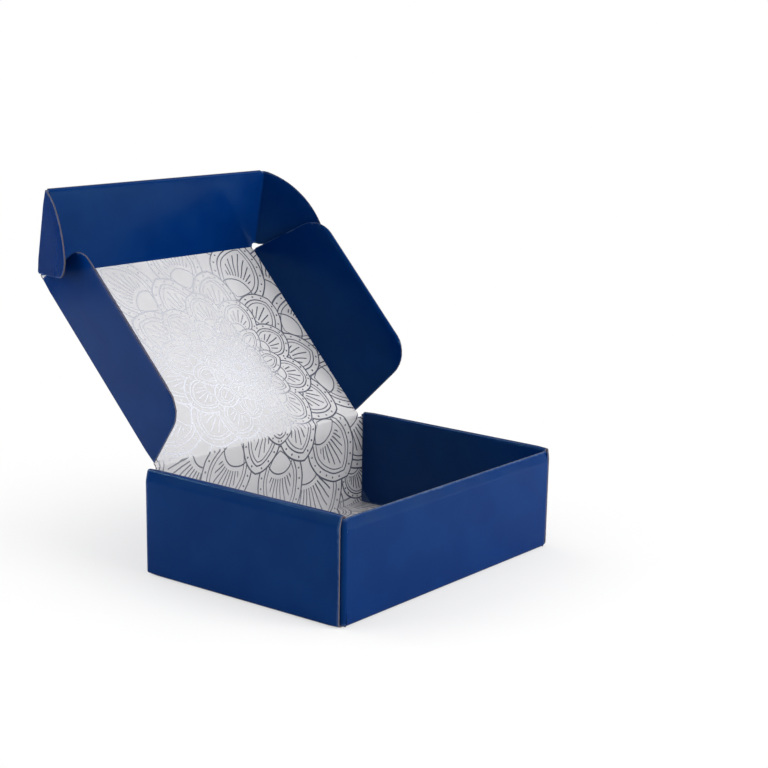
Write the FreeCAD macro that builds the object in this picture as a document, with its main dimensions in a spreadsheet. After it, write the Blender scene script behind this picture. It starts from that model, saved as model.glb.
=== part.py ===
import FreeCAD, Part
import os
import Sketcher

# Corrugated mailer box, open: a folded tray with roll-over side walls, and a lid with a front flap,
# two side wings and two rounded ears on the flap. Millimetres, +Z up, the tray stands on Z = 0,
# +X to the right and the front wall at -Y.

# Each size is written once
SIZES = {
    # Board and tray
    "board": 1.6,
    "outer_width": 206.0,
    "outer_depth": 150.0,
    "outer_height": 64.0,
    "layer_gap": 0.6,
    "board_clearance": 0.2,
    "panel_setback": 0.4,
    "corner_flap_length": 48.0,
    "fold_radius": 1.3,
    # Lock tabs of the inner side panels
    "tab_width": 24.0,
    "tab_spacing": 76.0,
    "tab_recess": 0.3,
    # Lid and its folds
    "lid_length": 140.0,
    "lid_side_gap": 3.4,
    "fold_back": 1.3,
    "nose_radius": 0.76,
    "flap_height": 53.5,
    "flap_side_gap": 0.9,
    # Side wings
    "wing_height": 56.0,
    "wing_hinge_inset": 3.0,
    "wing_far_inset": 2.0,
    "wing_hinge_slant": 2.5,
    "wing_far_slant": 15.0,
    "wing_corner_radius": 18.0,
    # Ears of the front flap
    "ear_length": 46.0,
    "ear_lid_inset": 1.2,
    "ear_tip_inset": 10.3,
    "ear_tip_width": 10.0,
    "ear_curve_radius": 58.0,
    "ear_corner_radius": 9.0,
    "ear_end_inset": 0.6,
}

# Open angles of the rest pose, in degrees
LID_OPEN = 133.0
FLAP_OPEN = 127.0
LEFT_WING_SPLAY = 14.0
RIGHT_WING_SPLAY = 11.0
EAR_SPLAY = 24.0

doc = FreeCAD.newDocument("MailerBox")
sheet = doc.addObject("Spreadsheet::Sheet", "Sizes")
for row, (alias, value) in enumerate(SIZES.items(), start=1):
    sheet.set(f"A{row}", alias.replace("_", " "))
    sheet.set(f"B{row}", str(value))
    sheet.setAlias(f"B{row}", alias)
doc.recompute()


def cell(alias):
    """Expression for one cell of the size sheet."""
    return f"Sizes.{alias}"


BOARD = cell("board")
HALF_BOARD = f"{BOARD} / 2"
HALF_WIDTH = f"{cell('outer_width')} / 2"
HALF_DEPTH = f"{cell('outer_depth')} / 2"
HEIGHT = cell("outer_height")
GAP = cell("layer_gap")
CLEARANCE = cell("board_clearance")

# Distances from the middle plane to the layers of a side wall, outside to inside
OUTER_FACE = HALF_WIDTH
OUTER_BACK = f"{HALF_WIDTH} - {BOARD}"
FLAP_FACE = f"{HALF_WIDTH} - {BOARD} - {GAP}"
FLAP_BACK = f"{HALF_WIDTH} - 2 * {BOARD} - {GAP}"
INNER_FACE = f"{HALF_WIDTH} - 2 * {BOARD} - 2 * {GAP}"
INNER_BACK = f"{HALF_WIDTH} - 3 * {BOARD} - 2 * {GAP}"

# Top of the front wall and of the corner flaps, under the strips of the side walls
WALL_TOP = f"{HEIGHT} - {BOARD} - {CLEARANCE}"

LID_HALF = f"{INNER_BACK} - {cell('lid_side_gap')}"
FLAP_HALF = f"{INNER_BACK} - {cell('flap_side_gap')}"


def size(expression):
    """Value of an expression of the size sheet, in millimetres."""
    return float(sheet.evalExpression(expression))


def new_body(name):
    body = doc.addObject("PartDesign::Body", name)
    body.Label = name
    return body


def origin_plane(body, role):
    return next(plane for plane in body.Origin.OriginFeatures if plane.Role == role)


def flat_sketch(body, name, level):
    """Sketch on the body's XY plane, lifted to a level."""
    sketch = body.newObject("Sketcher::SketchObject", name)
    sketch.AttachmentSupport = [(origin_plane(body, "XY_Plane"), "")]
    sketch.MapMode = "FlatFace"
    sketch.setExpression("AttachmentOffset.Base.z", level)
    return sketch


def pin(sketch, line, end, across, along):
    """Tie one end of a sketch line to two expressions measured from the origin."""
    for kind, expression in (("DistanceX", across), ("DistanceY", along)):
        index = sketch.addConstraint(Sketcher.Constraint(kind, -1, 1, line, end, size(expression)))
        sketch.setExpression(f"Constraints[{index}]", expression)


def outline(sketch, corners):
    """Closed outline through corners (X, Y); a corner (X, Y, radius) starts an arc that bulges outwards."""
    points = [FreeCAD.Vector(size(corner[0]), size(corner[1]), 0) for corner in corners]
    count = len(points)
    for side in range(count):
        start = points[side]
        end = points[(side + 1) % count]
        if len(corners[side]) > 2:
            radius = size(corners[side][2])
            chord = end - start
            outward = FreeCAD.Vector(chord.y, -chord.x, 0).normalize()
            rise = radius - (radius ** 2 - (chord.Length / 2) ** 2) ** 0.5
            middle = (start + end) * 0.5 + outward * rise
            sketch.addGeometry(Part.Arc(start, middle, end), False)
        else:
            sketch.addGeometry(Part.LineSegment(start, end), False)
    for side in range(count):
        following = (side + 1) % count
        sketch.addConstraint(Sketcher.Constraint("Coincident", side, 2, following, 1))
    for side, corner in enumerate(corners):
        pin(sketch, side, 1, corner[0], corner[1])
        if len(corner) > 2:
            index = sketch.addConstraint(Sketcher.Constraint("Radius", side, size(corner[2])))
            sketch.setExpression(f"Constraints[{index}]", corner[2])


def pad(body, sketch, name, thickness):
    feature = body.newObject("PartDesign::Pad", name)
    feature.Profile = sketch
    feature.setExpression("Length", thickness)
    sketch.Visibility = False
    doc.recompute()
    return feature


def rectangle(left, right, front, back):
    return [(left, front), (right, front), (right, back), (left, back)]


def slab(body, name, left, right, front, back, level, thickness):
    """Flat board between four limits, from a level upwards."""
    sketch = flat_sketch(body, f"{name}_outline", level)
    outline(sketch, rectangle(left, right, front, back))
    return pad(body, sketch, name, thickness)


def round_edges(body, name, radius, wanted):
    """Fillet of the edges for which wanted(start, end) is true."""
    base = body.Tip
    names = []
    for number, edge in enumerate(base.Shape.Edges, start=1):
        ends = [vertex.Point for vertex in edge.Vertexes]
        if len(ends) == 2 and wanted(ends[0], ends[1]):
            names.append(f"Edge{number}")
    feature = body.newObject("PartDesign::Fillet", name)
    feature.Base = (base, names)
    feature.setExpression("Radius", radius)
    doc.recompute()
    return feature


def near(value, target):
    return abs(value - target) < 0.01


# Tray: one folded sheet with single front and back walls and three-layer side walls
tray = new_body("tray")
slab(tray, "base_panel", f"-({HALF_WIDTH})", HALF_WIDTH, f"-({HALF_DEPTH})", HALF_DEPTH, "0", BOARD)
slab(tray, "front_wall", f"-({FLAP_FACE})", FLAP_FACE, f"-({HALF_DEPTH})", f"-({HALF_DEPTH} - {BOARD})",
     BOARD, f"{WALL_TOP} - {BOARD}")
slab(tray, "back_wall", f"-({FLAP_FACE})", FLAP_FACE, f"{HALF_DEPTH} - {BOARD}", HALF_DEPTH,
     BOARD, f"{WALL_TOP} - {BOARD}")
slab(tray, "lid_crease_band", f"-({LID_HALF})", LID_HALF, f"{HALF_DEPTH} - {BOARD}", HALF_DEPTH,
     WALL_TOP, f"{BOARD} + {CLEARANCE}")

PANEL_END = f"{HALF_DEPTH} - {cell('panel_setback')}"
INNER_END = f"{HALF_DEPTH} - {BOARD} - {CLEARANCE}"
sides = {"left": -1, "right": 1}


def mirrored_limits(side, near_middle, far_out):
    """Limits in X of a layer, on the left or on the right of the middle plane."""
    if side < 0:
        return f"-({far_out})", f"-({near_middle})"
    return near_middle, far_out


for word, side in sides.items():
    # Outer panel, then the strip over the top, then the inner panel
    low, high = mirrored_limits(side, OUTER_BACK, OUTER_FACE)
    slab(tray, f"{word}_outer_panel", low, high, f"-({PANEL_END})", PANEL_END, BOARD, f"{HEIGHT} - {BOARD}")
    low, high = mirrored_limits(side, INNER_BACK, OUTER_FACE)
    slab(tray, f"{word}_top_strip", low, high, f"-({PANEL_END})", PANEL_END, f"{HEIGHT} - {BOARD}", BOARD)
    low, high = mirrored_limits(side, INNER_BACK, INNER_FACE)
    slab(tray, f"{word}_inner_panel", low, high, f"-({INNER_END})", INNER_END,
         f"{BOARD} + {CLEARANCE}", f"{HEIGHT} - 2 * {BOARD} - {CLEARANCE}")

    # Corner flaps of the front and back walls between the two panels
    low, high = mirrored_limits(side, FLAP_BACK, FLAP_FACE)
    slab(tray, f"{word}_front_corner_flap", low, high, f"-({HALF_DEPTH})",
         f"-({HALF_DEPTH} - {cell('corner_flap_length')})", BOARD, f"{WALL_TOP} - {BOARD}")
    slab(tray, f"{word}_back_corner_flap", low, high, f"{HALF_DEPTH} - {cell('corner_flap_length')}",
         HALF_DEPTH, BOARD, f"{WALL_TOP} - {BOARD}")

    # Slots of the base, and the tabs of the inner panel that stand in them
    for place, sign in (("front", "-"), ("back", "+")):
        middle = f"({sign}{cell('tab_spacing')} / 2)"
        half_tab = f"{cell('tab_width')} / 2"
        slot_low, slot_high = mirrored_limits(side, f"{INNER_BACK} - {CLEARANCE}", f"{INNER_FACE} + {CLEARANCE}")
        sketch = flat_sketch(tray, f"{word}_{place}_slot_outline", BOARD)
        outline(sketch, rectangle(slot_low, slot_high, f"{middle} - {half_tab} - {CLEARANCE}",
                                  f"{middle} + {half_tab} + {CLEARANCE}"))
        volume_before = tray.Shape.Volume
        slot = tray.newObject("PartDesign::Pocket", f"{word}_{place}_slot")
        slot.Profile = sketch
        slot.Reversed = False
        slot.setExpression("Length", BOARD)
        sketch.Visibility = False
        doc.recompute()
        removed = volume_before - tray.Shape.Volume
        expected = (size(BOARD) + 2 * size(CLEARANCE)) * (size(cell("tab_width")) + 2 * size(CLEARANCE)) * size(BOARD)
        if abs(removed - expected) > 0.01 * expected:
            raise ValueError(f"slot {word} {place} removes {removed} instead of {expected}")
        low, high = mirrored_limits(side, INNER_BACK, INNER_FACE)
        slab(tray, f"{word}_{place}_tab", low, high, f"{middle} - {half_tab}", f"{middle} + {half_tab}",
             cell("tab_recess"), f"{BOARD} + {CLEARANCE} - {cell('tab_recess')}")

half_width = size(HALF_WIDTH)
half_depth = size(HALF_DEPTH)
height = size(HEIGHT)
flap_face = size(FLAP_FACE)
lid_half = size(LID_HALF)
inner_back = size(INNER_BACK)


def is_bottom_fold(start, end):
    """Long outer edges of the base."""
    on_floor = near(start.z, 0) and near(end.z, 0)
    on_side = near(abs(start.x), half_width) and near(start.x, end.x)
    on_front = near(abs(start.y), half_depth) and near(start.y, end.y)
    return on_floor and (on_side or on_front)


def is_strip_fold(start, end):
    """Both long top edges of each roll-over strip."""
    level = near(start.z, height) and near(end.z, height)
    place = near(start.x, end.x) and (near(abs(start.x), half_width) or near(abs(start.x), inner_back))
    return level and place


def is_corner_fold(start, end):
    """Upright edges where the front and back walls turn into their corner flaps."""
    upright = near(start.x, end.x) and near(start.y, end.y) and abs(start.z - end.z) > height / 2
    return upright and near(abs(start.x), flap_face) and near(abs(start.y), half_depth)


def is_crease_nose(start, end):
    """Both long edges on top of the back wall, where the lid is creased."""
    level = near(start.z, height) and near(end.z, height)
    along = near(start.y, end.y) and near(abs(start.x), lid_half) and near(abs(end.x), lid_half)
    return level and along


round_edges(tray, "strip_folds", cell("fold_radius"), is_strip_fold)
round_edges(tray, "bottom_folds", cell("fold_radius"), is_bottom_fold)
round_edges(tray, "corner_folds", cell("fold_radius"), is_corner_fold)
round_edges(tray, "lid_crease_nose", cell("nose_radius"), is_crease_nose)

# Lid panel: Y runs from the crease on the back wall to the front edge, +Z is the inside
LID_AXIS_END = f"{cell('lid_length')} - {HALF_BOARD}"
lid_panel = new_body("lid_panel")
slab(lid_panel, "lid_board", f"-({LID_HALF})", LID_HALF, cell("fold_back"), cell("lid_length"),
     f"-({HALF_BOARD})", BOARD)
lid_length = size(cell("lid_length"))


def is_lid_nose(start, end):
    """Long edges of the lid board at the wings' folds and at the front flap's fold."""
    on_side = near(abs(start.x), lid_half) and near(start.x, end.x) and near(start.z, end.z)
    on_front = near(start.y, lid_length) and near(end.y, lid_length) and near(start.z, end.z)
    return on_side or on_front


round_edges(lid_panel, "lid_noses", cell("nose_radius"), is_lid_nose)

# Front flap: Y runs from its fold to the free edge, +Z is the inside
front_flap = new_body("front_flap")
slab(front_flap, "flap_board", f"-({FLAP_HALF})", FLAP_HALF, cell("fold_back"), cell("flap_height"),
     f"-({HALF_BOARD})", BOARD)
flap_half = size(FLAP_HALF)


def is_flap_nose(start, end):
    """Upright edges of the flap board at the ears' folds."""
    return near(abs(start.x), flap_half) and near(start.x, end.x) and near(start.z, end.z)


round_edges(front_flap, "flap_noses", cell("nose_radius"), is_flap_nose)

# Wing outline: X runs from the fold to the free edge, Y along the lid
WING_BACK = f"{cell('fold_back')} + {cell('wing_hinge_inset')}"
WING_FRONT = f"{LID_AXIS_END} - {cell('wing_far_inset')}"
WING_TIP = cell("wing_height")
WING_CORNERS = [
    (cell("fold_back"), WING_BACK),
    (WING_TIP, f"{WING_BACK} + {cell('wing_hinge_slant')}"),
    (WING_TIP, f"{WING_FRONT} - {cell('wing_far_slant')}"),
    (cell("fold_back"), WING_FRONT),
]
wing_tip = size(WING_TIP)


def is_wing_corner(start, end):
    """Short edges through the board at the two corners of the free edge."""
    return near(start.x, wing_tip) and near(end.x, wing_tip) and near(start.y, end.y)


wings = {}
for word in sides:
    wing = new_body(f"{word}_wing")
    sketch = flat_sketch(wing, f"{word}_wing_outline", f"-({HALF_BOARD})")
    outline(sketch, WING_CORNERS)
    pad(wing, sketch, f"{word}_wing_board", BOARD)
    round_edges(wing, f"{word}_wing_corners", cell("wing_corner_radius"), is_wing_corner)
    wings[word] = wing

# Ear outline: X runs from the fold to the tip, Y along the flap away from the lid
EAR_TIP = cell("ear_length")
EAR_LOW = f"{cell('fold_back')} + {cell('ear_lid_inset')}"
EAR_CORNERS = [
    (cell("fold_back"), EAR_LOW),
    (EAR_TIP, f"{EAR_LOW} + {cell('ear_tip_inset')}"),
    (EAR_TIP, f"{EAR_LOW} + {cell('ear_tip_inset')} + {cell('ear_tip_width')}", cell("ear_curve_radius")),
    (cell("fold_back"), f"{cell('flap_height')} - {cell('ear_end_inset')}"),
]
ear_tip = size(EAR_TIP)
ear_low_tip = size(f"{EAR_LOW} + {cell('ear_tip_inset')}")


def is_ear_corner(start, end):
    """Short edge through the board at the ear's corner next to the lid."""
    at_tip = near(start.x, ear_tip) and near(end.x, ear_tip)
    return at_tip and near(start.y, ear_low_tip) and near(end.y, ear_low_tip)


ears = {}
for word in sides:
    ear = new_body(f"{word}_ear")
    sketch = flat_sketch(ear, f"{word}_ear_outline", f"-({HALF_BOARD})")
    outline(sketch, EAR_CORNERS)
    pad(ear, sketch, f"{word}_ear_board", BOARD)
    round_edges(ear, f"{word}_ear_corner", cell("ear_corner_radius"), is_ear_corner)
    ears[word] = ear

# Rest pose: the lid leans back, the flap, wings and ears stand a little wide of square
X_AXIS = FreeCAD.Vector(1, 0, 0)
Y_AXIS = FreeCAD.Vector(0, 1, 0)
QUARTER_TURN = 90.0
HALF_TURN = 180.0


def placed(across, along, up, axis, angle):
    return FreeCAD.Placement(FreeCAD.Vector(across, along, up), FreeCAD.Rotation(axis, angle))


half_board = size(HALF_BOARD)
wing_splay = {"left": LEFT_WING_SPLAY, "right": RIGHT_WING_SPLAY}
lid_place = placed(0, half_depth - half_board, height - half_board, X_AXIS, HALF_TURN - LID_OPEN)
flap_place = lid_place * placed(0, size(LID_AXIS_END), 0, X_AXIS, HALF_TURN - FLAP_OPEN)
lid_panel.Placement = lid_place
front_flap.Placement = flap_place
for word, side in sides.items():
    turn = -QUARTER_TURN + side * wing_splay[word]
    wings[word].Placement = lid_place * placed(side * (lid_half - half_board), 0, 0, Y_AXIS, turn)
    turn = -QUARTER_TURN + side * EAR_SPLAY
    ears[word].Placement = flap_place * placed(side * (flap_half - half_board), 0, 0, Y_AXIS, turn)
doc.recompute()

# Check every object, then write one STEP file for each piece
for item in doc.Objects:
    faults = [state for state in item.State if state in ("Invalid", "Error")]
    if faults:
        raise ValueError(f"{item.Name} is in state {faults}")

pieces = [tray, lid_panel, front_flap, wings["left"], wings["right"], ears["left"], ears["right"]]
for piece in pieces:
    shape = piece.Shape
    if shape.isNull() or not shape.isValid() or len(shape.Solids) != 1:
        raise ValueError(f"{piece.Label} has no single valid solid")

os.makedirs("parts", exist_ok=True)
for piece in pieces:
    piece.Shape.exportStep(f"parts/{piece.Label}.step")
    box = piece.Shape.BoundBox
    print(f"{piece.Label}: volume {piece.Shape.Volume:.1f} mm3, "
          f"X {box.XMin:.2f} {box.XMax:.2f}, Y {box.YMin:.2f} {box.YMax:.2f}, Z {box.ZMin:.2f} {box.ZMax:.2f}")
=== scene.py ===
import math
import bmesh
import bpy
from mathutils import Matrix, Vector


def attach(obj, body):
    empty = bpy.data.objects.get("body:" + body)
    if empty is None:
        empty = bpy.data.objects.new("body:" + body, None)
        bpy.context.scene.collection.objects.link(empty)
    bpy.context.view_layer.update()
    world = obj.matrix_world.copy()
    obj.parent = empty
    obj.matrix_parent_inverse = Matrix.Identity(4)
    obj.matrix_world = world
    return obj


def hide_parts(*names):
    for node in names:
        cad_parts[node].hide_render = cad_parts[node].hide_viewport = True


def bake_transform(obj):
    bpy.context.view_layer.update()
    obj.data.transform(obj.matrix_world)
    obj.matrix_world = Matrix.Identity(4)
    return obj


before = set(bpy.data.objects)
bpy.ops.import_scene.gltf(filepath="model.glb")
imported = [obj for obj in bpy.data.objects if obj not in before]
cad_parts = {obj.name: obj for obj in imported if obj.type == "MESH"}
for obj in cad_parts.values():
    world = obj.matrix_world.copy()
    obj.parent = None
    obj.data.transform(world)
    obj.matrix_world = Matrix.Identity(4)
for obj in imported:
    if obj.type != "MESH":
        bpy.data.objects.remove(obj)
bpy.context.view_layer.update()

MM = 0.001

# Real sizes of the box, in millimetres
BOARD = 1.6
HALF_BOARD = BOARD / 2
FLUTE_PITCH = 3.3
CREASE = 2.6            # half width of a crease strip
CREASE_FOLD = 1.0       # radius of the fold in a crease strip

# Tray
WALL_Y = 74.2           # middle of the front and back walls
FLOOR_Z = HALF_BOARD
WALL_TOP = 62.2
WALL_FOLD = 1.4         # radius of the walls' folds at the floor
WALL_BEND = 55.0        # where the front wall starts to lean in towards its cut edge
WALL_LEAN = 0.9
HINGE_Z = 63.2
CREASE_LOW = HINGE_Z - CREASE
OUTER_X = 102.2         # middle of the outer panel of a side wall
INNER_X = 97.8          # middle of the inner panel
STRIP_Z = 63.2          # middle of the strip between them
ROLL_FOLD = 1.25        # radius of the folds beside the strip
ROLL_LOW = 57.0         # where the outer panel starts to lean in under the roll
ROLL_CURVE = 14.0
ROLL_LEAN = 1.5
PANEL_END = 74.5
INNER_END = 73.2
INNER_STEP = 0.6        # length over which the inner panel narrows to its own ends
INNER_FOOT = 1.8
TAB_FOOT = 0.3
TAB_PLACES = (-38.0, 38.0)
TAB_HALF = 12.0
FLAP_X = 100.0          # middle of the corner flaps
CORNER_FOLD = 2.2
FOLD_SLACK = 0.02       # leaves a short flat stretch before the corner flaps' folds
CORNER_FLAP_END = 27.0
CORNER_FLAP_FOOT = 1.0
TRAY_HALF = FLAP_X - CORNER_FOLD

# Lid, wings, front flap and ears, each from its own fold line
LID_HALF = 92.8         # fold lines of the wings
LID_END = 139.2         # fold line of the front flap
LID_CREASE_HALF = LID_HALF + 0.4
FLAP_HALF = 95.3        # fold lines of the ears
FLAP_HEIGHT = 53.3
WING_TIP = 56.0
WING_NECK = 2.8
WING_BACK_TIP = 6.8
WING_FRONT_TIP = 122.2
WING_FRONT = 136.6
WING_CREASE_END = 136.4
WING_CORNER = 18.0      # radius of the wings' corners
EAR_TIP = 46.0
EAR_LOW = 2.5
EAR_CREASE_LOW = 2.8
EAR_LOW_TIP = 12.8
EAR_HIGH_TIP = 22.8
EAR_HIGH = 52.9
EAR_CORNER = 9.0
EAR_CURVE = 58.0        # radius of the ears' long round edge
CURL_WIDTH = 2.6        # the free edges of the wings and the flap bend back over this width
CURL_DEPTH = 1.1
WING_CURL = 0.7         # share of that depth at the wings
CURL_STEPS = 5
FLAP_BOW = 0.25         # how far a board bows out in its middle
WING_BOW = 0.3
EAR_BOW = 0.2

# How the sheets are cut into faces
RAW_PINCH = 0.45        # share of the thickness left at a pressed cut edge
EDGE_RIMS = (0.35, 0.55, 1.8)
CREASE_RIMS = (0.3, 0.45)
CUT_PITCH = 9.0
BOARD_PITCH = 7.0
CREASE_PITCH = 1.0
CUT_REACH = 0.02        # a corner this near to a cut line counts as on it
NEAR = 0.01
SHARP_ANGLE = math.radians(38)

# Open angles, in degrees
LID_OPEN = 133.0
FLAP_OPEN = 127.0
WING_SPLAY = {"left": 14.0, "right": 11.0}
EAR_SPLAY = 24.0
SIDES = {"left": -1, "right": 1}


def turned(x, y, z, axis, angle):
    return Matrix.Translation((x, y, z)) @ Matrix.Rotation(math.radians(angle), 4, axis)


LID_PLACE = turned(0, WALL_Y, HINGE_Z, "X", 180 - LID_OPEN)
FLAP_PLACE = LID_PLACE @ turned(0, LID_END, 0, "X", 180 - FLAP_OPEN)
WING_PLACE = {word: LID_PLACE @ turned(side * LID_HALF, 0, 0, "Y", -90 + side * WING_SPLAY[word])
              for word, side in SIDES.items()}
EAR_PLACE = {word: FLAP_PLACE @ turned(side * FLAP_HALF, 0, 0, "Y", -90 + side * EAR_SPLAY)
             for word, side in SIDES.items()}


# Paper sheets: cut flat, then folded up

def rounded(corners, steps=8):
    """Outline through corners (u, v) or (u, v, radius), each radius cut as an arc."""
    points = []
    count = len(corners)
    for index, corner in enumerate(corners):
        here = Vector(corner[:2])
        if len(corner) < 3:
            points.append(here)
            continue
        before = (Vector(corners[index - 1][:2]) - here).normalized()
        after = (Vector(corners[(index + 1) % count][:2]) - here).normalized()
        half = before.angle(after) / 2
        reach = corner[2] / math.tan(half)
        middle = here + (before + after).normalized() * corner[2] / math.sin(half)
        first = here + before * reach - middle
        last = here + after * reach - middle
        sweep = first.angle_signed(last)
        for step in range(steps + 1):
            turn = -sweep * step / steps
            points.append(middle + Matrix.Rotation(turn, 2) @ first)
    return points


def arc_between(start, end, radius, steps=14):
    """Points of an arc that bulges to the right of start to end, without its ends."""
    start, end = Vector(start), Vector(end)
    chord = end - start
    outward = Vector((chord.y, -chord.x)).normalized()
    middle = (start + end) / 2 - outward * math.sqrt(radius ** 2 - (chord.length / 2) ** 2)
    first = start - middle
    sweep = first.angle_signed(end - middle)
    return [middle + Matrix.Rotation(-sweep * step / steps, 2) @ first for step in range(1, steps)]


def cut_sheet(outline, cuts_u=(), cuts_v=(), rims=EDGE_RIMS):
    """Flat sheet with the outline, rims along its edge and cut lines across it."""
    flat = bmesh.new()
    flat.faces.new([flat.verts.new((p[0], p[1], 0)) for p in outline])
    flat.normal_update()
    if flat.faces[:][0].normal.z < 0:
        bmesh.ops.reverse_faces(flat, faces=flat.faces[:])
    inner = flat.faces[:]
    done = 0
    for rim in rims:
        bmesh.ops.inset_region(flat, faces=inner, thickness=rim - done, use_even_offset=True)
        done = rim
    for places, normal in ((cuts_u, (1, 0, 0)), (cuts_v, (0, 1, 0))):
        for place in places:
            spot = Vector(normal) * place
            bmesh.ops.bisect_plane(flat, geom=flat.verts[:] + flat.edges[:] + flat.faces[:],
                                   dist=CUT_REACH, plane_co=spot, plane_no=normal)
    bmesh.ops.triangulate(flat, faces=[f for f in flat.faces if len(f.verts) > 4])
    flat.verts.index_update()
    flat.verts.ensure_lookup_table()
    return flat


def steps_between(low, high, pitch=CUT_PITCH):
    """Even steps of about a pitch, without the ends."""
    count = max(1, round((high - low) / pitch))
    return [low + (high - low) * step / count for step in range(1, count)]


def folded(corners, fold_steps=6):
    """Fold line of a sheet: corners (a, b) or (a, b, radius) give stations (length, point, normal)."""
    stations = []
    length = 0.0
    last = None
    count = len(corners)
    for index, corner in enumerate(corners):
        here = Vector(corner[:2])
        if index in (0, count - 1) or len(corner) < 3:
            after, before = corners[min(index + 1, count - 1)], corners[max(index - 1, 0)]
            ahead = Vector(after[:2]) - Vector(before[:2])
            points = [(here, Vector((-ahead.y, ahead.x)).normalized())]
        else:
            before = (Vector(corners[index - 1][:2]) - here).normalized()
            after = (Vector(corners[index + 1][:2]) - here).normalized()
            half = before.angle(after) / 2
            reach = corner[2] / math.tan(half)
            middle = here + (before + after).normalized() * corner[2] / math.sin(half)
            first = here + before * reach - middle
            end = here + after * reach - middle
            sweep = first.angle_signed(end)
            points = []
            for step in range(fold_steps + 1):
                spoke = Matrix.Rotation(-sweep * step / fold_steps, 2) @ first
                tangent = Vector((-spoke.y, spoke.x)) * (1 if -sweep > 0 else -1)
                points.append((middle + spoke, Vector((-tangent.y, tangent.x)).normalized()))
        for point, normal in points:
            if last is not None:
                length += (point - last).length
            stations.append((length, point, normal))
            last = point
    return stations


def along(stations, length):
    """Point and normal of a folded line at a length from its start."""
    for (low, p, n), (high, q, m) in zip(stations, stations[1:]):
        if length <= high or (high, q, m) == stations[-1]:
            share = (length - low) / (high - low)
            return p.lerp(q, share), n.lerp(m, share).normalized()


def fold_cuts(stations, pitch=CUT_PITCH):
    """Cut lines at each station of a folded line, and between those far apart."""
    cuts = []
    for (low, *_), (high, *_) in zip(stations, stations[1:]):
        cuts += [low] + steps_between(low, high, pitch)
    return cuts[1:]


def put_piece(name, mesh):
    piece = bpy.data.objects.new(name, mesh)
    bpy.context.scene.collection.objects.link(piece)
    return piece


def hang_sheet(name, flat, place, materials, joined=None, sheet_map=None, printed=None):
    """Board from a flat sheet. place(u, v) gives the board's middle and its inside normal, in millimetres.
    An edge where joined(u, v) is true is left open, without a raw face, and sheet_map(u, v) places the print.
    materials are those of the inside face, the outside face and the raw edge, and a fourth is the inside
    face's where printed(u, v) is true."""
    made = bmesh.new()
    sheet = made.loops.layers.uv.new("sheet")
    rub = made.verts.layers.float.new("rub")
    raw = set()
    for edge in flat.edges:
        if edge.is_boundary:
            a, b = (v.co for v in edge.verts)
            middle = (a + b) / 2
            if joined is None or not joined(middle.x, middle.y):
                raw.update(v.index for v in edge.verts)
    inside, outside = [], []
    for vert in flat.verts:
        point, normal = place(vert.co.x, vert.co.y)
        half = RAW_PINCH * HALF_BOARD if vert.index in raw else HALF_BOARD
        for side, made_list in ((1, inside), (-1, outside)):
            new = made.verts.new((Vector(point) + Vector(normal) * half * side) * MM)
            new[rub] = 1.0 if vert.index in raw else 0.0
            made_list.append(new)

    def mapped(u, v):
        if sheet_map:
            u, v = sheet_map(u, v)
        return Vector((u, v)) * MM

    for face in flat.faces:
        for verts, index in ((inside, 0), (outside, 1)):
            corners = [v.index for v in face.verts]
            if index:
                corners.reverse()
            new = made.faces.new([verts[c] for c in corners])
            new.material_index = index
            if printed and not index and len(materials) > 3:
                middle = face.calc_center_median()
                new.material_index = 3 if printed(middle.x, middle.y) else 0
            new.smooth = True
            for loop, corner in zip(new.loops, corners):
                co = flat.verts[corner].co
                loop[sheet].uv = mapped(co.x, co.y)
    for edge in flat.edges:
        if not edge.is_boundary:
            continue
        loop = edge.link_loops[0]
        a, b = loop.vert, loop.link_loop_next.vert
        middle = (a.co + b.co) / 2
        if joined and joined(middle.x, middle.y):
            continue
        new = made.faces.new([inside[b.index], inside[a.index], outside[a.index], outside[b.index]])
        new.material_index = 2
        new.smooth = True
        direction = (b.co - a.co).normalized()
        for loop, (vert, across) in zip(new.loops, ((b, 1), (a, 1), (a, -1), (b, -1))):
            run = vert.co.dot(direction)
            loop[sheet].uv = Vector((run, across * HALF_BOARD)) * MM
    made.normal_update()
    mesh = bpy.data.meshes.new(name)
    made.to_mesh(mesh)
    made.free()
    mesh.set_sharp_from_angle(angle=SHARP_ANGLE)
    for material in materials:
        mesh.materials.append(material)
    return put_piece(name, mesh)


def join_pieces(name, parts):
    """One piece from several sheets that share their materials."""
    joined = bmesh.new()
    for part in parts:
        joined.from_mesh(part.data)
    mesh = parts[0].data.copy()
    mesh.name = name
    joined.to_mesh(mesh)
    joined.free()
    mesh.set_sharp_from_angle(angle=SHARP_ANGLE)
    for part in parts:
        bpy.data.objects.remove(part)
    return put_piece(name, mesh)


def flat_board(name, corners, place, body, materials, joined, bow=0.0, curl=None, cuts=((), ())):
    """Flat board of an outline in its own plane, riding on a body. It bows a little, curl(u, v) bends it
    back, and cuts are more cut lines across it."""
    us = [p[0] for p in corners]
    vs = [p[1] for p in corners]
    flat = cut_sheet(corners, steps_between(min(us), max(us), BOARD_PITCH) + list(cuts[0]),
                     steps_between(min(vs), max(vs), BOARD_PITCH) + list(cuts[1]))
    normal = (place.to_3x3() @ Vector((0, 0, 1))).normalized()

    def lie(u, v):
        ru = (u - min(us)) / (max(us) - min(us))
        rv = (v - min(vs)) / (max(vs) - min(vs))
        lift = bow * math.sin(math.pi * ru) * math.sin(math.pi * rv) - (curl(u, v) if curl else 0.0)
        return place @ Vector((u, v, lift)), normal

    piece = hang_sheet(name, flat, lie, materials, joined=joined)
    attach(piece, body)
    return piece


# Materials

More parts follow.
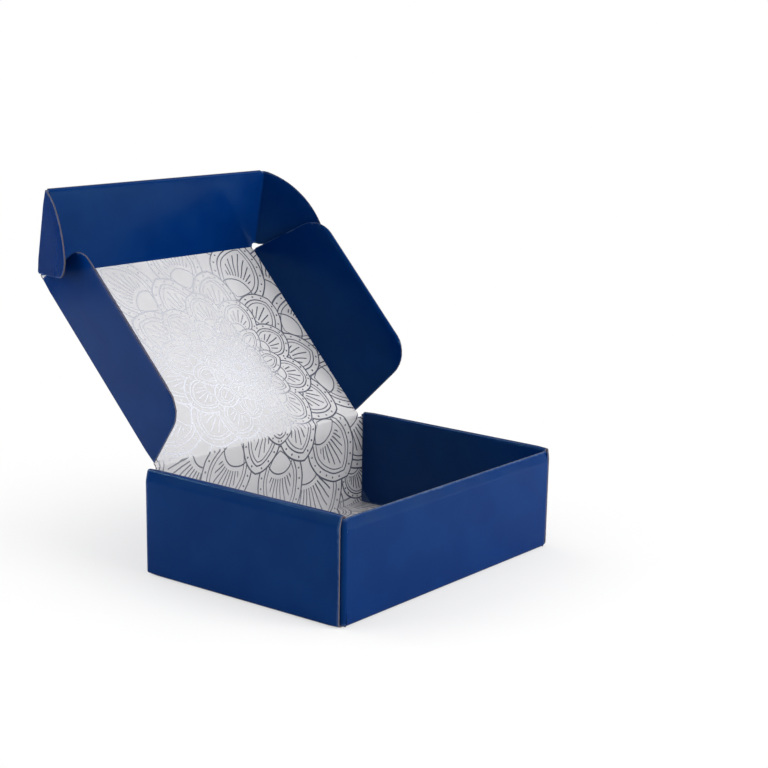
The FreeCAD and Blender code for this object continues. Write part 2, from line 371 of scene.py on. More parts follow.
def new_group(name, inputs, outputs):
    """Empty node group, and its nodes for what comes in and what goes out."""
    tree = bpy.data.node_groups.new(name, "ShaderNodeTree")
    for label, kind, value in inputs:
        socket = tree.interface.new_socket(name=label, in_out="INPUT", socket_type=kind)
        if value is not None:
            socket.default_value = value
    for label, kind in outputs:
        tree.interface.new_socket(name=label, in_out="OUTPUT", socket_type=kind)
    entry = tree.nodes.new("NodeGroupInput")
    leave = tree.nodes.new("NodeGroupOutput")
    return tree, entry, leave


def wire(tree, value, socket):
    if isinstance(value, bpy.types.NodeSocket):
        tree.links.new(value, socket)
    elif value is not None:
        socket.default_value = value


def add_node(tree, kind, **values):
    """Node with its inputs wired or set by name; names with a leading _ are node settings."""
    node = tree.nodes.new(kind)
    for key, value in values.items():
        if key.startswith("_"):
            setattr(node, key[1:], value)
    for key, value in values.items():
        if not key.startswith("_"):
            wire(tree, value, node.inputs[key.replace("_", " ")])
    return node


def group_node(tree, group, **values):
    node = tree.nodes.new("ShaderNodeGroup")
    node.node_tree = group
    for key, value in values.items():
        wire(tree, value, node.inputs[key])
    return node


def maths(tree, operation, *values):
    node = tree.nodes.new("ShaderNodeMath")
    node.operation = operation
    for value, socket in zip(values, node.inputs):
        wire(tree, value, socket)
    return node.outputs[0]


def plus(tree, first, second):
    return maths(tree, "ADD", first, second)


def minus(tree, first, second):
    return maths(tree, "SUBTRACT", first, second)


def times(tree, first, second):
    return maths(tree, "MULTIPLY", first, second)


def over(tree, first, second):
    return maths(tree, "DIVIDE", first, second)


def distance(tree, across, up):
    return maths(tree, "SQRT", plus(tree, times(tree, across, across), times(tree, up, up)))


def centred(tree, value):
    """Place between whole numbers, from -0.5 to 0.5."""
    return minus(tree, maths(tree, "FRACT", value), 0.5)


def ramp(tree, value, low, high, out_low=0.0, out_high=1.0):
    """Smooth step of a value from low to high."""
    node = tree.nodes.new("ShaderNodeMapRange")
    node.interpolation_type = "SMOOTHSTEP"
    for item, socket in zip((value, low, high, out_low, out_high), node.inputs):
        wire(tree, item, socket)
    return node.outputs[0]


def mix_colour(tree, factor, first, second):
    node = tree.nodes.new("ShaderNodeMix")
    node.data_type = "RGBA"
    wire(tree, factor, node.inputs[0])
    wire(tree, first, node.inputs[6])
    wire(tree, second, node.inputs[7])
    return node.outputs[2]


def colour(red, green, blue):
    """Linear colour of an sRGB one in 0 to 255."""
    def linear(value):
        value /= 255
        return value / 12.92 if value <= 0.04045 else ((value + 0.055) / 1.055) ** 2.4
    return (linear(red), linear(green), linear(blue), 1.0)


# Silver print, in millimetres on the flat sheet
LINE_BLUR = 0.08
PETAL_BLUR = 0.06
RAY_BLUR = 0.1
BEAD_DEPTH = 0.55       # places across a petal's band, as shares of its width
MIDDLE_RIM = 1.45
RAY_END = 1.95
FAN_DROP = 0.55         # how far the rays meet behind the petal's middle, as a share of its size
HAND_REACH = 1.8        # how far the hand-drawn lines waver
HAND_SCALE = 0.07
MANDALA_PLACE = (15.0, 52.0)
# Rings from the outermost inwards: petals, phase, centre, size, point, line, band, dots, rays, core
MANDALA_RINGS = (
    (14, 0.5, 214.0, 58.0, 10.0, 1.4, 7.4, 44, 72, 26.0),
    (20, 0.5, 168.0, 28.0, 4.0, 1.2, 4.8, 30, 48, 15.0),
    (10, 0.0, 138.0, 46.0, 13.0, 1.4, 7.4, 40, 66, 22.0),
    (20, 0.25, 122.0, 18.0, 0.0, 1.1, 3.8, 20, 40, 9.0),
    (10, 0.5, 100.0, 36.0, 5.0, 1.3, 6.6, 30, 46, 17.0),
    (10, 0.0, 84.0, 33.0, 11.0, 1.2, 6.0, 26, 44, 15.0),
    (10, 0.5, 54.0, 24.0, 6.0, 1.2, 5.4, 18, 30, 11.0),
    (10, 0.0, 42.0, 17.0, 2.0, 1.1, 4.4, 14, 24, 7.0),
    (10, 0.5, 28.0, 13.0, 4.0, 1.0, 3.6, 10, 18, 5.0),
    (10, 0.0, 18.0, 8.5, 0.0, 0.95, 2.8, 8, 14, 3.4),
    (8, 0.5, 9.0, 6.4, 1.5, 0.85, 2.3, 6, 12, 2.4),
)
RING_WORDS = ("Petals", "Phase", "Centre", "Size", "Point", "Line", "Band", "Dots", "Rays", "Core")


def make_petal_ring():
    """One ring of petals around the middle of a mandala. Radius is in millimetres, Turn in whole turns.
    Inside is 1 within a petal, Foil is 1 on its lines."""
    inputs = [(label, "NodeSocketFloat", value) for label, value in (
        ("Radius", 0.0), ("Turn", 0.0), ("Petals", 8.0), ("Phase", 0.0), ("Centre", 30.0), ("Size", 12.0),
        ("Point", 0.0), ("Line", 0.8), ("Band", 4.0), ("Dots", 30.0), ("Rays", 24.0), ("Core", 3.0))]
    tree, entry, leave = new_group("mandala petal ring", inputs,
                                   [("Inside", "NodeSocketFloat"), ("Foil", "NodeSocketFloat")])
    g = entry.outputs
    line, band = g["Line"], g["Band"]

    def shown(value, blur=LINE_BLUR):
        """1 where value is above 0, fading over the blur on both sides."""
        return ramp(tree, value, -blur, blur)

    def stroke(value, width):
        """1 where value is within half a width of 0."""
        return shown(minus(tree, times(tree, width, 0.5), maths(tree, "ABSOLUTE", value)))

    def run_round(turn, count, radius):
        """Length along a circle, from the middle of the nearest of count even steps."""
        return over(tree, times(tree, times(tree, turn, math.tau), radius), count)

    # Place in the nearest petal: out along its middle line, and aside of it
    swing = centred(tree, plus(tree, times(tree, g["Turn"], g["Petals"]), g["Phase"]))
    angle = over(tree, times(tree, swing, math.tau), g["Petals"])
    out = minus(tree, times(tree, g["Radius"], maths(tree, "COSINE", angle)), g["Centre"])
    aside = maths(tree, "ABSOLUTE", times(tree, g["Radius"], maths(tree, "SINE", angle)))
    wide = plus(tree, aside, g["Point"])
    reach = distance(tree, out, wide)
    depth = minus(tree, g["Size"], reach)
    inside = shown(depth, PETAL_BLUR)

    rim = stroke(minus(tree, depth, times(tree, line, 0.5)), line)
    inner_rim = stroke(minus(tree, depth, band), times(tree, line, 0.8))
    middle_rim = stroke(minus(tree, depth, times(tree, band, MIDDLE_RIM)), times(tree, line, 0.6))

    # Dots along the band
    spoke = maths(tree, "ARCTAN2", wide, out)
    bead = centred(tree, times(tree, spoke, over(tree, g["Dots"], math.tau)))
    bead_depth = minus(tree, depth, times(tree, band, BEAD_DEPTH))
    bead_far = distance(tree, run_round(bead, g["Dots"], reach), bead_depth)
    beads = shown(minus(tree, times(tree, line, 0.62), bead_far))

    # Rays between the core and the inner rim
    rise = plus(tree, out, times(tree, g["Size"], FAN_DROP))
    fan = distance(tree, rise, aside)
    fan_turn = maths(tree, "ARCTAN2", aside, rise)
    ray = centred(tree, plus(tree, times(tree, fan_turn, over(tree, g["Rays"], math.tau)), 0.5))
    rays = stroke(run_round(ray, g["Rays"], fan), times(tree, line, 0.75))
    rays = times(tree, rays, shown(minus(tree, depth, times(tree, band, RAY_END)), RAY_BLUR))
    rays = times(tree, rays, shown(minus(tree, fan, g["Core"]), RAY_BLUR))
    core = stroke(minus(tree, fan, times(tree, g["Core"], 0.8)), times(tree, line, 0.8))

    foil = rim
    for part in (inner_rim, middle_rim, beads, rays, core):
        foil = maths(tree, "MAXIMUM", foil, part)
    tree.links.new(inside, leave.inputs["Inside"])
    tree.links.new(times(tree, foil, inside), leave.inputs["Foil"])
    return tree


def make_mandala(petal_ring):
    """Silver line print of petal rings around one middle, in the coordinates of the flat sheet."""
    tree, entry, leave = new_group("mandala print", [("Sheet", "NodeSocketVector", None)],
                                   [("Foil", "NodeSocketFloat")])
    scaled = add_node(tree, "ShaderNodeVectorMath", _operation="SCALE", Vector=entry.outputs["Sheet"],
                      Scale=1 / MM).outputs[0]
    waver = add_node(tree, "ShaderNodeTexNoise", Vector=scaled, Scale=HAND_SCALE, Detail=0.0)
    offset = add_node(tree, "ShaderNodeVectorMath", _operation="SUBTRACT")
    wire(tree, waver.outputs["Color"], offset.inputs[0])
    offset.inputs[1].default_value = (0.5, 0.5, 0.5)
    shaky = add_node(tree, "ShaderNodeVectorMath", _operation="MULTIPLY_ADD")
    wire(tree, offset.outputs[0], shaky.inputs[0])
    shaky.inputs[1].default_value = (HAND_REACH, HAND_REACH, 0)
    wire(tree, scaled, shaky.inputs[2])
    parts = add_node(tree, "ShaderNodeSeparateXYZ", Vector=shaky.outputs[0])
    across = minus(tree, parts.outputs[0], MANDALA_PLACE[0])
    up = minus(tree, parts.outputs[1], MANDALA_PLACE[1])
    radius = distance(tree, across, up)
    turn = over(tree, maths(tree, "ARCTAN2", up, across), math.tau)
    foil = None
    for sizes in MANDALA_RINGS:
        ring = group_node(tree, petal_ring, Radius=radius, Turn=turn, **dict(zip(RING_WORDS, sizes)))
        if foil is None:
            foil = ring.outputs["Foil"]
        else:
            # A nearer petal covers the lines behind it
            keep = minus(tree, 1.0, ring.outputs["Inside"])
            foil = plus(tree, times(tree, foil, keep), ring.outputs["Foil"])
    tree.links.new(foil, leave.inputs["Foil"])
    return tree


def new_material(name):
    material = bpy.data.materials.new(name)
    material.use_nodes = True
    tree = material.node_tree
    tree.nodes.clear()
    shader = tree.nodes.new("ShaderNodeBsdfPrincipled")
    out = tree.nodes.new("ShaderNodeOutputMaterial")
    tree.links.new(shader.outputs[0], out.inputs[0])
    return material, tree, shader


def sheet_coordinates(tree):
    return add_node(tree, "ShaderNodeUVMap", _uv_map="sheet").outputs[0]


def make_flute_show():
    """Flutes of the board that show through its face as faint ridges, and the paper's own unevenness."""
    tree, entry, leave = new_group(
        "flutes showing through",
        [("Sheet", "NodeSocketVector", None), ("Pitch", "NodeSocketFloat", FLUTE_PITCH * MM),
         ("Ridge", "NodeSocketFloat", 0.5), ("Waviness", "NodeSocketFloat", 0.5)],
        [("Height", "NodeSocketFloat"), ("Mottle", "NodeSocketFloat")])
    sheet = entry.outputs["Sheet"]
    parts = add_node(tree, "ShaderNodeSeparateXYZ", Vector=sheet)
    phase = times(tree, over(tree, parts.outputs[0], entry.outputs["Pitch"]), math.tau)
    ridge = times(tree, maths(tree, "SINE", phase), entry.outputs["Ridge"])
    broad = add_node(tree, "ShaderNodeTexNoise", Vector=sheet, Scale=34.0, Detail=2.0).outputs[0]
    fine = add_node(tree, "ShaderNodeTexNoise", Vector=sheet, Scale=900.0, Detail=3.0).outputs[0]
    swell = times(tree, broad, times(tree, entry.outputs["Waviness"], 6.0))
    tooth = times(tree, fine, 0.005)
    tree.links.new(plus(tree, plus(tree, ridge, swell), tooth), leave.inputs["Height"])
    tree.links.new(broad, leave.inputs["Mottle"])
    return tree


def make_edge_rub():
    """Wear along cut edges: the print rubbed thin in broken patches."""
    tree, entry, leave = new_group(
        "edge rub", [("Sheet", "NodeSocketVector", None), ("Amount", "NodeSocketFloat", 0.5)],
        [("Worn", "NodeSocketFloat")])
    sheet = entry.outputs["Sheet"]
    rub = add_node(tree, "ShaderNodeAttribute", _attribute_name="rub").outputs["Fac"]
    grain = add_node(tree, "ShaderNodeTexNoise", Vector=sheet, Scale=260.0, Detail=4.0).outputs[0]
    patch = add_node(tree, "ShaderNodeTexNoise", Vector=sheet, Scale=30.0, Detail=1.0).outputs[0]
    chance = times(tree, grain, plus(tree, patch, 0.35))
    lack = minus(tree, times(tree, chance, entry.outputs["Amount"]), 1.0)
    tree.links.new(ramp(tree, plus(tree, rub, lack), -0.1, 0.25), leave.inputs["Worn"])
    return tree


flute_show = make_flute_show()
edge_rub = make_edge_rub()
petal_ring = make_petal_ring()
mandala = make_mandala(petal_ring)


def press_bump(tree, shader, height, strength, depth):
    """Bump of a height that is pressed a depth, in millimetres, into the shader's surface."""
    bump = add_node(tree, "ShaderNodeBump", Height=height)
    bump.inputs["Strength"].default_value = strength
    bump.inputs["Distance"].default_value = depth * MM
    tree.links.new(bump.outputs[0], shader.inputs["Normal"])


def make_blue_gloss():
    """Blue printed liner under a gloss film."""
    material, tree, shader = new_material("blue gloss laminate")
    sheet = sheet_coordinates(tree)
    flutes = group_node(tree, flute_show, Sheet=sheet, Ridge=0.2, Waviness=0.55)
    worn = group_node(tree, edge_rub, Sheet=sheet, Amount=0.3).outputs["Worn"]
    mottle = ramp(tree, flutes.outputs["Mottle"], 0.35, 0.65)
    base = mix_colour(tree, mottle, colour(0, 36, 92), colour(0, 39, 96))
    base = mix_colour(tree, worn, base, colour(70, 88, 128))
    tree.links.new(base, shader.inputs["Base Color"])
    smear = add_node(tree, "ShaderNodeTexNoise", Vector=sheet, Scale=70.0, Detail=3.0).outputs[0]
    gloss = ramp(tree, smear, 0.3, 0.75, 0.16, 0.24)
    tree.links.new(plus(tree, gloss, times(tree, worn, 0.3)), shader.inputs["Roughness"])
    shader.inputs["Specular IOR Level"].default_value = 0.17
    shader.inputs["Specular Tint"].default_value = (0.4, 1.0, 1.0, 1)
    press_bump(tree, shader, flutes.outputs["Height"], 0.22, 0.12)
    return material


def make_printed_card():
    """White liner with the silver foil print pressed into it."""
    material, tree, shader = new_material("white card with silver print")
    sheet = sheet_coordinates(tree)
    flutes = group_node(tree, flute_show, Sheet=sheet, Ridge=0.2, Waviness=0.5)
    worn = group_node(tree, edge_rub, Sheet=sheet, Amount=0.4).outputs["Worn"]
    foil = group_node(tree, mandala, Sheet=sheet).outputs["Foil"]
    mottle = ramp(tree, flutes.outputs["Mottle"], 0.35, 0.65)
    card = mix_colour(tree, mottle, colour(200, 199, 201), colour(206, 205, 207))
    base = mix_colour(tree, foil, card, colour(188, 190, 198))
    base = mix_colour(tree, worn, base, colour(205, 203, 206))
    tree.links.new(base, shader.inputs["Base Color"])
    tree.links.new(times(tree, foil, 0.8), shader.inputs["Metallic"])
    tree.links.new(minus(tree, 0.42, times(tree, foil, 0.23)), shader.inputs["Roughness"])
    press_bump(tree, shader, plus(tree, flutes.outputs["Height"], times(tree, foil, 0.05)), 0.15, 0.1)
    return material


def make_raw_edge():
    """Cut edge of the board: two thin liners with the flutes' wave between them, and painted shade in the open
    cells between the flutes.
    """
    material, tree, shader = new_material("raw board edge")
    sheet = sheet_coordinates(tree)
    parts = add_node(tree, "ShaderNodeSeparateXYZ", Vector=sheet)
    across = over(tree, parts.outputs[1], HALF_BOARD * MM)
    phase = times(tree, over(tree, parts.outputs[0], FLUTE_PITCH * MM), math.tau)
    wave = times(tree, maths(tree, "SINE", phase), 0.55)
    flute = ramp(tree, maths(tree, "ABSOLUTE", minus(tree, across, wave)), 0.12, 0.3, 1.0, 0.0)
    liner = ramp(tree, maths(tree, "ABSOLUTE", across), 0.62, 0.76)
    solid = maths(tree, "MAXIMUM", flute, liner)
    grain = add_node(tree, "ShaderNodeTexNoise", Vector=sheet, Scale=1400.0, Detail=3.0).outputs[0]
    paper = mix_colour(tree, grain, colour(96, 88, 94), colour(140, 130, 134))
    # Open cells between the flutes: the flute paper inside them, darkened with painted shade
    cell_shade = colour(52, 44, 48)
    blue_face = ramp(tree, across, -0.98, -0.86, 1.0, 0.0)
    base = mix_colour(tree, blue_face, mix_colour(tree, solid, cell_shade, paper), colour(20, 40, 84))
    tree.links.new(base, shader.inputs["Base Color"])
    tree.links.new(ramp(tree, grain, 0.3, 0.7, 0.8, 0.95), shader.inputs["Roughness"])
    press_bump(tree, shader, solid, 0.6, 0.3)
    return material


blue_gloss = make_blue_gloss()
printed_card = make_printed_card()
raw_edge = make_raw_edge()

# Finishes of a board: inside face, outside face, raw edge, and the inside face before a fold
BLUE_BOARD = (blue_gloss, blue_gloss, raw_edge)
PRINTED_BOARD = (printed_card, blue_gloss, raw_edge)
HALF_PRINTED_BOARD = (blue_gloss, blue_gloss, raw_edge, printed_card)


def tray_run():
    """Front wall, floor and back wall as one run of the sheet."""
    run = folded([(-WALL_Y + WALL_LEAN, WALL_TOP), (-WALL_Y, WALL_BEND, ROLL_CURVE),
                  (-WALL_Y, FLOOR_Z, WALL_FOLD), (WALL_Y, FLOOR_Z, WALL_FOLD), (WALL_Y, CREASE_LOW)])
    total = run[-1][0]

    def place(u, v):
        point, normal = along(run, v)
        return Vector((u, point.x, point.y)), Vector((0, normal.x, normal.y))

    flat = cut_sheet([(-TRAY_HALF, 0), (TRAY_HALF, 0), (TRAY_HALF, total), (-TRAY_HALF, total)],
                     steps_between(-TRAY_HALF, TRAY_HALF), fold_cuts(run))
    return hang_sheet("tray_run", flat, place, PRINTED_BOARD,
                      joined=lambda u, v: abs(u) > TRAY_HALF - NEAR or v > total - NEAR,
                      sheet_map=lambda u, v: (u, v - total - CREASE))


def tray_roll(side):
    """Side wall, rolled over the corner flaps and locked into the floor."""
    roll = folded([(TRAY_HALF, FLOOR_Z), (OUTER_X, FLOOR_Z, WALL_FOLD), (OUTER_X, ROLL_LOW, ROLL_CURVE),
                   (OUTER_X - ROLL_LEAN, STRIP_Z, ROLL_FOLD), (INNER_X, STRIP_Z, ROLL_FOLD),
                   (INNER_X, INNER_FOOT), (INNER_X, TAB_FOOT)])
    top = next(length for length, point, normal in roll if abs(point.x - INNER_X) < NEAR)
    end = roll[-2][0]
    tab = roll[-1][0]

    def place(u, v):
        point, normal = along(roll, v)
        return Vector((side * point.x, u, point.y)), Vector((side * normal.x, 0, normal.y))

    corners = [(-PANEL_END, 0), (PANEL_END, 0), (PANEL_END, top), (INNER_END, top + INNER_STEP),
               (INNER_END, end)]
    for middle in reversed(TAB_PLACES):
        corners += [(middle + TAB_HALF, end), (middle + TAB_HALF, tab),
                    (middle - TAB_HALF, tab), (middle - TAB_HALF, end)]
    corners += [(-INNER_END, end), (-INNER_END, top + INNER_STEP), (-PANEL_END, top)]
    flat = cut_sheet(corners, steps_between(-PANEL_END, PANEL_END), fold_cuts(roll))
    part = hang_sheet("tray_roll", flat, place, PRINTED_BOARD, joined=lambda u, v: v < NEAR)
    # The inner panel is blue on both sides, so no face of the roll has the first finish
    for polygon in part.data.polygons:
        polygon.material_index = max(1, polygon.material_index)
    return part


def tray_corner(side, front):
    """Corner flap of the front or back wall, turned in between the panels of a side wall."""
    turn = folded([(TRAY_HALF, WALL_Y), (FLAP_X, WALL_Y, CORNER_FOLD - FOLD_SLACK), (FLAP_X, CORNER_FLAP_END)])
    length = turn[-1][0]

    def place(u, v):
        point, normal = along(turn, u)
        return (Vector((side * point.x, front * point.y, v)),
                Vector((-side * abs(normal.x), -front * abs(normal.y), 0)))

    flat = cut_sheet([(0, CORNER_FLAP_FOOT), (length, CORNER_FLAP_FOOT), (length, WALL_TOP), (0, WALL_TOP)],
                     fold_cuts(turn), steps_between(CORNER_FLAP_FOOT, WALL_TOP))
    return hang_sheet("tray_corner", flat, place, PRINTED_BOARD, joined=lambda u, v: u < NEAR)


def show_tray():
    parts = [tray_run()]
    for side in SIDES.values():
        parts.append(tray_roll(side))
        parts += [tray_corner(side, front) for front in (-1, 1)]
    piece = join_pieces("tray_shell", parts)
    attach(piece, "tray")
    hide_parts("tray")


def crease_strip(name, path, low, high, place, materials, sheet_map=None):
    """Strip of board across a fold, from low to high along it. path lies in the plane square to the fold, and
    place turns (fold, a, b) into a point."""
    run = folded(path, fold_steps=8)
    total = run[-1][0]

    def lie(u, v):
        point, normal = along(run, v)
        return place(u, point.x, point.y), place(0, normal.x, normal.y) - place(0, 0, 0)

    flat = cut_sheet([(low, 0), (high, 0), (high, total), (low, total)],
                     steps_between(low, high), fold_cuts(run, CREASE_PITCH), rims=CREASE_RIMS)
    piece = hang_sheet(name, flat, lie, materials, joined=lambda u, v: v < NEAR or v > total - NEAR,
                       sheet_map=(lambda u, v: sheet_map(u, v, total)) if sheet_map else None,
                       printed=lambda u, v: v < total / 2)
    start = lie((low + high) / 2, 0)[0] * MM
    end = lie((low + high) / 2, total)[0] * MM
    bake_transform(piece)


def heading(angle):
    return Vector((math.cos(math.radians(angle)), math.sin(math.radians(angle))))


def crease_path(hinge, before, after):
    """Line across a fold, CREASE long on each side of its hinge, with the headings of its two sides."""
    hinge = Vector(hinge)
    return [tuple(hinge - heading(before) * CREASE), (*hinge, CREASE_FOLD),
            tuple(hinge + heading(after) * CREASE)]


def at_crease(u, v):
    return u < CREASE + NEAR


def edge_curl(inset):
    """How far the board bends back at a distance from its free edge."""
    return CURL_DEPTH * max(0.0, 1 - inset / CURL_WIDTH) ** 2


def curl_cuts(edge):
    return [edge - CURL_WIDTH * step / CURL_STEPS for step in range(1, CURL_STEPS + 1)]


def oblong(half, height):
    """Board between the creases at its sides, from its own crease to a height."""
    reach = half - CREASE
    return [(-reach, CREASE), (reach, CREASE), (reach, height), (-reach, height)]


def shape_lid():
    lid = flat_board("lid_board", oblong(LID_HALF, LID_END - CREASE), LID_PLACE, "lid", PRINTED_BOARD,
                     joined=lambda u, v: True)
    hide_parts("lid_panel")
    flap = flat_board("flap_board", oblong(FLAP_HALF, FLAP_HEIGHT), FLAP_PLACE, "front_flap", BLUE_BOARD,
                      joined=lambda u, v: v < FLAP_HEIGHT - NEAR, bow=FLAP_BOW,
                      curl=lambda u, v: edge_curl(FLAP_HEIGHT - v), cuts=((), curl_cuts(FLAP_HEIGHT)))
    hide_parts("front_flap")
    wing_outline = rounded([(CREASE, WING_NECK), (WING_TIP, WING_BACK_TIP, WING_CORNER),
                            (WING_TIP, WING_FRONT_TIP, WING_CORNER), (CREASE, WING_FRONT)])
    ear_outline = rounded([(CREASE, EAR_LOW), (EAR_TIP, EAR_LOW_TIP, EAR_CORNER), (EAR_TIP, EAR_HIGH_TIP)])
    ear_outline += arc_between((EAR_TIP, EAR_HIGH_TIP), (CREASE, EAR_HIGH), EAR_CURVE)
    ear_outline.append(Vector((CREASE, EAR_HIGH)))
    for word, side in SIDES.items():
        wing = flat_board(f"{word}_wing_board", wing_outline, WING_PLACE[word], f"{word}_wing", BLUE_BOARD,
                          joined=at_crease, bow=WING_BOW,
                          curl=lambda u, v: side * edge_curl(WING_TIP - u) * WING_CURL,
                          cuts=(curl_cuts(WING_TIP), ()))
        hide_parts(f"{word}_wing")
        ear = flat_board(f"{word}_ear_board", ear_outline, EAR_PLACE[word], f"{word}_ear", BLUE_BOARD,
                         joined=at_crease, bow=EAR_BOW)
        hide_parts(f"{word}_ear")


def crease_lid():
    crease_strip("lid_crease", crease_path((WALL_Y, HINGE_Z), 90, 180 - LID_OPEN),
                 -LID_CREASE_HALF, LID_CREASE_HALF, lambda u, a, b: Vector((u, a, b)),
                 PRINTED_BOARD,
                 sheet_map=lambda u, v, total: (u, v - total / 2))
    crease_strip("flap_crease", crease_path((LID_END, 0), 0, 180 - FLAP_OPEN),
                 -LID_HALF, LID_HALF, lambda u, a, b: LID_PLACE @ Vector((u, a, b)),
                 HALF_PRINTED_BOARD,
                 sheet_map=lambda u, v, total: (u, LID_END + v - total / 2))
    for word, side in SIDES.items():
        crease_strip(f"{word}_wing_crease", crease_path((LID_HALF, 0), 0, 90 - WING_SPLAY[word]),
                     WING_NECK, WING_CREASE_END, lambda u, a, b: LID_PLACE @ Vector((side * a, u, b)),
                     HALF_PRINTED_BOARD,
                     sheet_map=lambda u, v, total: (side * (LID_HALF + v - total / 2), u))
        crease_strip(f"{word}_ear_crease", crease_path((FLAP_HALF, 0), 0, 90 - EAR_SPLAY),
                     EAR_CREASE_LOW, EAR_HIGH, lambda u, a, b: FLAP_PLACE @ Vector((side * a, u, b)),
                     BLUE_BOARD)


show_tray()
shape_lid()
crease_lid()


# Studio: pale floor, soft lights and the camera, in metres

# Radius and height of the floor's rings
FLOOR_PROFILE = ((0.0005, 0), (0.4, 0), (1.2, 0), (5.2, 0), (5.7, 0.1), (6.0, 0.4), (6.05, 1.4))
FLOOR_DROP = 0.0002     # how far the floor lies under the box
FLOOR_SIDES = 96
SHADED_TO = 0.1         # the floor shows its shading near the box, and turns white over this stretch
WHITE_FROM = 0.36
NEAR_WHITE = 0.52
CARD_RADIUS = 0.62
CARD_HEIGHT = 0.34
CARD_SIDES = 48


def circle(rim, radius, height, count):
    """Corners of a level circle in a mesh."""
    return [rim.verts.new((radius * math.cos(math.tau * step / count),
                           radius * math.sin(math.tau * step / count), height)) for step in range(count)]


def lay_floor():
    """Pale floor with a low curved wall far behind it; both go white beyond the ground near the box."""
    ring = bmesh.new()
    rims = [circle(ring, radius, height - FLOOR_DROP, FLOOR_SIDES) for radius, height in FLOOR_PROFILE]
    for low, high in zip(rims, rims[1:]):
        for step in range(FLOOR_SIDES):
            after = (step + 1) % FLOOR_SIDES
            ring.faces.new([low[step], high[step], high[after], low[after]])
    mesh = bpy.data.meshes.new("studio_floor")
    ring.to_mesh(mesh)
    ring.free()
    mesh.shade_smooth()
    floor = put_piece("studio_floor", mesh)
    material, tree, shader = new_material("pale floor")
    shader.inputs["Base Color"].default_value = (0.88, 0.88, 0.88, 1)
    shader.inputs["Roughness"].default_value = 0.8
    shader.inputs["Specular IOR Level"].default_value = 0.1
    white = tree.nodes.new("ShaderNodeEmission")
    path = tree.nodes.new("ShaderNodeLightPath")
    seen = maths(tree, "MAXIMUM", path.outputs["Is Camera Ray"],
                 maths(tree, "MAXIMUM", path.outputs["Is Glossy Ray"], path.outputs["Is Transmission Ray"]))
    place = add_node(tree, "ShaderNodeNewGeometry").outputs["Position"]
    far = add_node(tree, "ShaderNodeVectorMath", _operation="LENGTH", Vector=place).outputs["Value"]
    mix = tree.nodes.new("ShaderNodeMixShader")
    out = next(node for node in tree.nodes if node.type == "OUTPUT_MATERIAL")
    share = times(tree, seen, ramp(tree, far, SHADED_TO, WHITE_FROM, NEAR_WHITE, 1.0))
    for source, socket in ((share, mix.inputs[0]), (shader.outputs[0], mix.inputs[1]),
                           (white.outputs[0], mix.inputs[2]), (mix.outputs[0], out.inputs[0])):
        tree.links.new(source, socket)
    floor.data.materials.append(material)


def soft_light(name, place, target, width, height, power):
    data = bpy.data.lights.new(name, "AREA")
    data.shape = "RECTANGLE"
    data.size = width
    data.size_y = height
    data.energy = power
    lamp = bpy.data.objects.new(name, data)
    lamp.location = place
    lamp.rotation_euler = (Vector(target) - Vector(place)).to_track_quat("-Z", "Y").to_euler()
    bpy.context.scene.collection.objects.link(lamp)
    lamp.visible_camera = False


def light_studio():
    world = bpy.data.worlds.new("studio air")
    bpy.context.scene.world = world
    world.use_nodes = True
    air = world.node_tree.nodes["Background"]
    air.inputs["Color"].default_value = (0.3, 0.3, 0.3, 1)
    soft_light("overhead soft box", (0.2, 0.2, 1.7), (0, 0.05, 0), 1.4, 1.4, 5)
    soft_light("front soft box", (0.3, -1.55, 1.1), (0, 0, 0.08), 1.2, 1.2, 25)
    soft_light("back soft box", (0.1, 1.1, 1.4), (0, 0.0, 0.06), 1.3, 0.7, 6)
    soft_light("front bounce", (0.48, -0.58, 0.06), (0.02, -0.07, 0.04), 0.5, 0.3, 4.2)
    soft_light("left fill", (-1.0, 0.62, 0.32), (-0.1, 0.0, 0.05), 0.6, 0.4, 4.6)
    soft_light("side panel", (0.45, -0.06, 0.60), (0.0, 0.1, 0.09), 0.27, 0.34, 0.24)
    soft_light("side lamp", (0.47, -0.10, 0.55), (0.0, 0.1, 0.09), 0.12, 0.14, 0.05)
    soft_light("roll strip", (-0.52, 0.86, 0.62), (-0.1, 0.0, 0.06), 0.9, 0.06, 3.8)


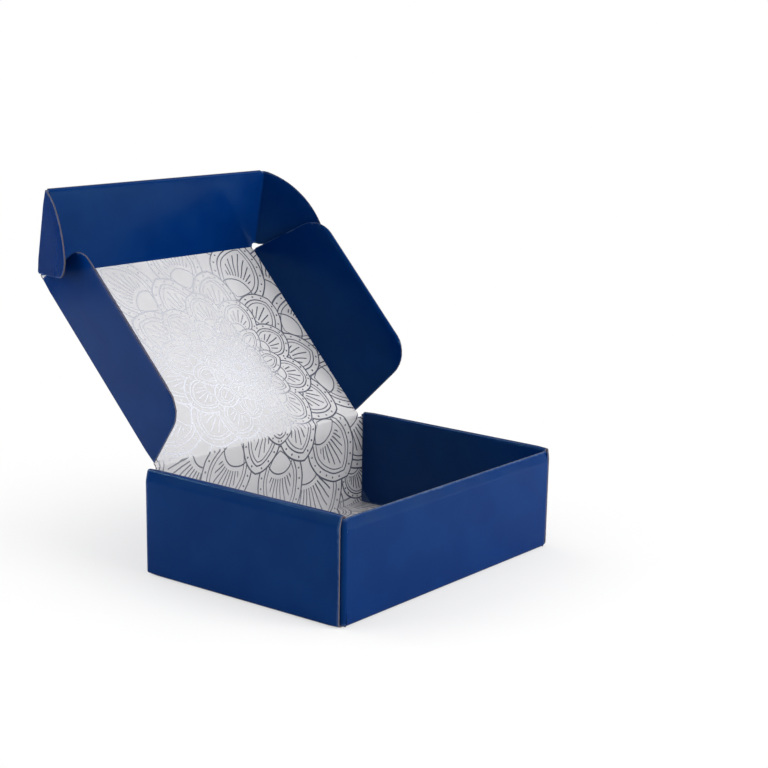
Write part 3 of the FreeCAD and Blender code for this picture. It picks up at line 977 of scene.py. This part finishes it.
def stand_cards():
    """Grey card on the table and dark cards round it, which only reflections see."""
    ring = bmesh.new()
    low = circle(ring, CARD_RADIUS, 0, CARD_SIDES)
    high = circle(ring, CARD_RADIUS, CARD_HEIGHT, CARD_SIDES)
    for step in range(CARD_SIDES):
        after = (step + 1) % CARD_SIDES
        ring.faces.new([low[step], low[after], high[after], high[step]])
    ring.faces.new(low).material_index = 1
    mesh = bpy.data.meshes.new("studio_cards")
    ring.to_mesh(mesh)
    ring.free()
    cards = put_piece("studio_cards", mesh)
    for name, grey in (("dark studio card", 0.08), ("grey studio card", 0.42)):
        material, tree, shader = new_material(name)
        shader.inputs["Base Color"].default_value = (grey, grey, grey, 1)
        shader.inputs["Roughness"].default_value = 0.9
        mesh.materials.append(material)
    cards.visible_camera = False
    cards.visible_diffuse = False
    cards.visible_shadow = False
    cards.visible_transmission = False


def set_camera():
    """Camera of the photograph, fitted to the corners of the box. Its focal length and shift are in pixels."""
    azimuth, elevation, roll = (math.radians(a) for a in (-54.868, 15.041, 1.808))
    focal = 1775.334
    distance = 1.136089
    aim = Vector((0.090264, -0.024559, 0.040))
    shift = (-90, 90)
    frame_width = 768
    back = Vector((math.sin(azimuth) * math.cos(elevation), -math.cos(azimuth) * math.cos(elevation),
                   math.sin(elevation)))
    right = (-back).cross(Vector((0, 0, 1))).normalized()
    up = right.cross(-back)
    right, up = right * math.cos(roll) + up * math.sin(roll), up * math.cos(roll) - right * math.sin(roll)
    data = bpy.data.cameras.new("camera")
    data.sensor_width = 36
    data.lens = focal * data.sensor_width / frame_width
    data.shift_x = shift[0] / frame_width
    data.shift_y = shift[1] / frame_width
    data.clip_start = 0.01
    data.clip_end = 50
    camera = bpy.data.objects.new("camera", data)
    bpy.context.scene.collection.objects.link(camera)
    turn = Matrix((right, up, back)).transposed().to_4x4()
    camera.matrix_world = Matrix.Translation(aim + back * distance) @ turn
    bpy.context.scene.camera = camera


lay_floor()
stand_cards()
light_studio()
set_camera()
bpy.context.scene.view_settings.view_transform = "Standard"
